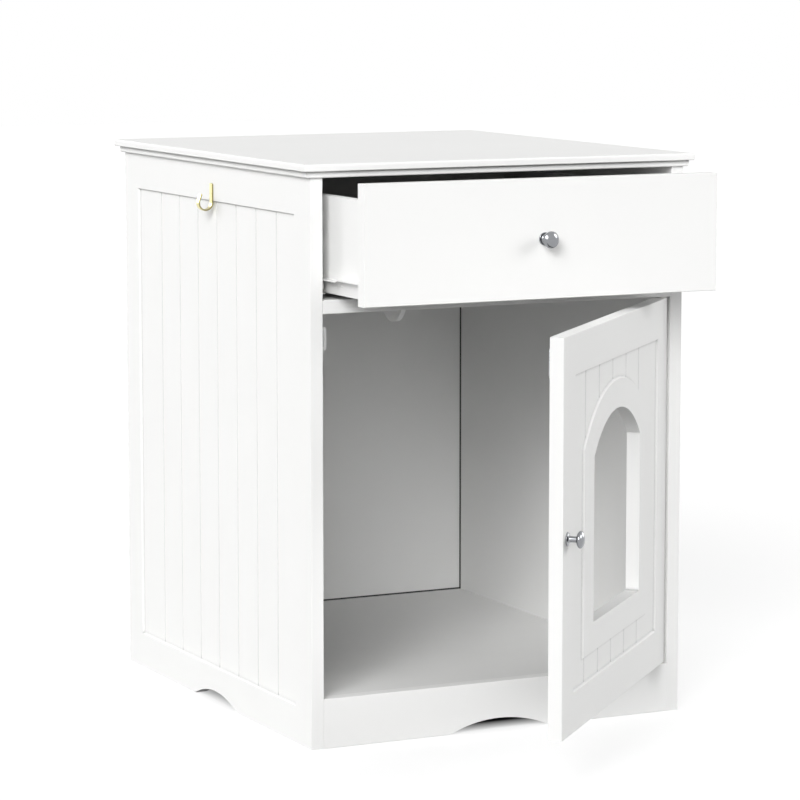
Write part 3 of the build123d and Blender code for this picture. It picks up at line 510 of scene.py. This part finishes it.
def make_floor():
    """A pale matte floor that keeps its shadow.

    What is seen of it is lifted to white outside the cabinet's footprint, and is darker below the cabinet, as a
    painted shadow.
    """
    corner = FLOOR_HALF_M
    mesh = bpy.data.meshes.new("studio_floor")
    mesh.from_pydata([(-corner, -corner, 0), (corner, -corner, 0), (corner, corner, 0), (-corner, corner, 0)],
                     [], [(0, 1, 2, 3)])
    floor = bpy.data.objects.new("studio_floor", mesh)
    bpy.context.scene.collection.objects.link(floor)
    material, tree = new_material("studio_floor")
    dull, pale, under = (add(tree, "ShaderNodeBsdfDiffuse", {"Color": (level, level, level, 1.0)}).outputs[0]
                         for level in (FLOOR_BOUNCE, FLOOR_PALE, FLOOR_UNDER_SHADOW))
    past = outside_of(tree, *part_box("top_board"))
    clear = add(tree, "ShaderNodeMapRange", {"Value": past, "From Min": -FLOOR_SHADE_FULL_MM * MM,
                                             "From Max": -FLOOR_SHADE_START_MM * MM})
    glow = add(tree, "ShaderNodeEmission", {"Strength": FLOOR_LIFT})
    lifted = add(tree, "ShaderNodeAddShader", {0: pale, 1: glow.outputs[0]})
    # Below the cabinet the floor shows the darker diffuse: a painted shadow
    shown = add(tree, "ShaderNodeMixShader", {0: clear.outputs["Result"], 1: under, 2: lifted.outputs[0]})
    surface = shown_behind(tree, dull, shown.outputs[0])
    add(tree, "ShaderNodeOutputMaterial", {"Surface": surface})
    dress(floor, material)


def make_world():
    """A studio lit by broad soft lights: each falls off as a power of the cosine from its own direction.

    What is seen of it, in mirrors too, is white, and brighter where a light is.
    """
    world = bpy.data.worlds.new("studio")
    bpy.context.scene.world = world
    world.use_nodes = True
    tree = world.node_tree
    tree.nodes.clear()
    coords = add(tree, "ShaderNodeTexCoord").outputs["Generated"]
    total = AMBIENT
    for azimuth, elevation, strength in SOFT_LIGHTS:
        turn, rise = math.radians(azimuth), math.radians(elevation)
        towards = (-math.sin(turn) * math.cos(rise), -math.cos(turn) * math.cos(rise), math.sin(rise))
        facing = add(tree, "ShaderNodeVectorMath", {0: coords, 1: towards}, operation="DOT_PRODUCT")
        facing = add(tree, "ShaderNodeMath", {0: facing.outputs["Value"], 1: 0.0}, operation="MAXIMUM")
        lobe = add(tree, "ShaderNodeMath", {0: facing.outputs[0], 1: LIGHT_FALLOFF}, operation="POWER")
        added = {0: lobe.outputs[0], 1: strength, 2: total}
        total = add(tree, "ShaderNodeMath", added, operation="MULTIPLY_ADD").outputs[0]
    light = add(tree, "ShaderNodeBackground", {"Color": WHITE, "Strength": total})
    bright = add(tree, "ShaderNodeMath", {0: total, 1: 1.0}, operation="MAXIMUM").outputs[0]
    white = add(tree, "ShaderNodeBackground", {"Color": WHITE, "Strength": bright})
    surface = shown_behind(tree, light.outputs[0], white.outputs[0])
    add(tree, "ShaderNodeOutputWorld", {"Surface": surface})


def make_camera():
    """The camera at the photograph's place, looking along its yaw and pitch."""
    data = bpy.data.cameras.new("photo_camera")
    data.sensor_width = SENSOR_MM
    data.lens = FOCAL_PIXELS / FRAME_PIXELS * SENSOR_MM
    data.clip_end = CAMERA_REACH_M
    camera = bpy.data.objects.new("photo_camera", data)
    camera.location = Vector(CAMERA_PLACE_MM) * MM
    camera.rotation_euler = Euler((math.pi / 2 + CAMERA_PITCH, 0.0, -CAMERA_YAW))
    bpy.context.scene.collection.objects.link(camera)
    bpy.context.scene.camera = camera


finishes = make_finishes()
for part in frame["record"]["subparts"]:
    dress(frame["nodes"][part["node"]], finishes[part["material_slot"]])

carcass_board = make_carcass_board("lacquer_outside_shaded_melamine_inside")
for node in CARCASS:
    dress(frame["nodes"][node], carcass_board)
dress(frame["nodes"]["back_panel"], make_carcass_board("shaded_melamine_back_with_joint_line", jointed=True))
drawer_board = make_drawer_board("lacquer_outside_painted_shade_inside")
for node in DRAWER_BOX:
    dress(frame["nodes"][node], drawer_board)

door_joint = next(j for j in frame["joints"] if j["name"] == "door_swing")
door_angle = -math.radians(door_joint["range_deg"][0])
make_knob("drawer_pull_knob", "drawer_knob", "drawer", (0.0, -1.0, 0.0))
make_knob("door_pull_knob", "door_knob", "door", (math.sin(door_angle), -math.cos(door_angle), 0.0))
make_hook()
make_floor()
make_world()
make_camera()
bpy.context.scene.view_settings.view_transform = "Standard"
